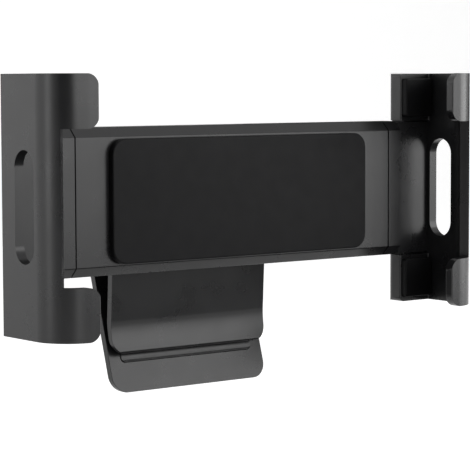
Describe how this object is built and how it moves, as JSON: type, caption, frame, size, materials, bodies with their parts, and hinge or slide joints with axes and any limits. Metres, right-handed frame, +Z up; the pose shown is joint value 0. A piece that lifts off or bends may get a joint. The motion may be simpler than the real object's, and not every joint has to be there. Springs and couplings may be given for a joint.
{
  "type": "headrest tablet holder",
  "caption": "Clip-on tablet holder: a padded bar with two spring-loaded sliding jaws, on a turning and tilting head over a wide sprung clip.",
  "frame": {"origin": "middle of the clip's bite, between its two grip pads", "axes": "+X along the bar, to the right seen from the tablet's side; +Y from the tablet to the back; +Z up"},
  "size_m": [0.1756, 0.0787, 0.1059],
  "materials": {
    "housing": "moulded satin black",
    "jaw": "moulded satin black",
    "clip": "moulded satin black",
    "pad": "soft matt black",
    "slider": "moulded matt black",
    "gear": "natural moulded gear plastic",
    "screw": "black zinc",
    "pin": "bright drawn steel",
    "spring": "drawn spring wire",
    "washer": "matt friction washer"
  },
  "bodies": {
    "clip": {"clip_front_plate": "clip", "front_grip_pad": "pad", "clip_pin": "pin", "clip_pin_rings": "pin", "clip_spring": "spring", "tilt_bolt": "screw", "tilt_nut": "screw", "tilt_washers": "washer"},
    "lever": {"clip_rear_plate": "clip", "rear_grip_pad": "pad"},
    "head": {"swivel_head": "housing", "swivel_retainer": "washer", "swivel_screws": "screw"},
    "holder": {"front_housing": "housing", "rear_housing": "housing", "housing_screws": "screw", "front_pad": "pad", "pinion_screw": "pin", "left_spring": "spring", "right_spring": "spring"},
    "left_arm": {"left_jaw": "jaw", "left_slider": "slider", "left_slider_screws": "screw", "left_upper_pad": "pad", "left_lower_pad": "pad"},
    "right_arm": {"right_jaw": "jaw", "right_slider": "slider", "right_slider_screws": "screw", "right_upper_pad": "pad", "right_lower_pad": "pad"},
    "gear": {"pinion": "gear"}
  },
  "joints": [
    {"name": "tilt", "type": "hinge", "parent": "clip", "child": "head", "pos_m": [0, -0.01022, 0.046], "axis": [-1, 0, 0], "range_deg": [-10, 25]},
    {"name": "swivel", "type": "hinge", "parent": "head", "child": "holder", "pos_m": [0, -0.02012, 0.046], "axis": [0, 1, 0], "continuous": true},
    {"name": "left_slide", "type": "slide", "parent": "holder", "child": "left_arm", "axis": [-1, 0, 0], "range_m": [0, 0.05], "stiffness_N_per_m": 120, "springref_m": -0.025, "deforming": ["left_spring"]},
    {"name": "right_slide", "type": "slide", "parent": "holder", "child": "right_arm", "axis": [1, 0, 0], "range_m": [0, 0.05], "deforming": ["right_spring"]},
    {"name": "pinion_turn", "type": "hinge", "parent": "holder", "child": "gear", "pos_m": [0, -0.03032, 0.046], "axis": [0, -1, 0], "range_deg": [0, 320]},
    {"name": "clip_open", "type": "hinge", "parent": "clip", "child": "lever", "pos_m": [0, 0.00433, 0.038], "axis": [1, 0, 0], "range_deg": [0, 28], "stiffness_Nm_per_rad": 0.6, "springref_deg": -28.65, "deforming": ["clip_spring"]}
  ],
  "couplings": [
    {"joint": "right_slide", "follows": "left_slide", "ratio": 1},
    {"joint": "pinion_turn", "follows": "left_slide", "rad_per_m": 111.11}
  ]
}
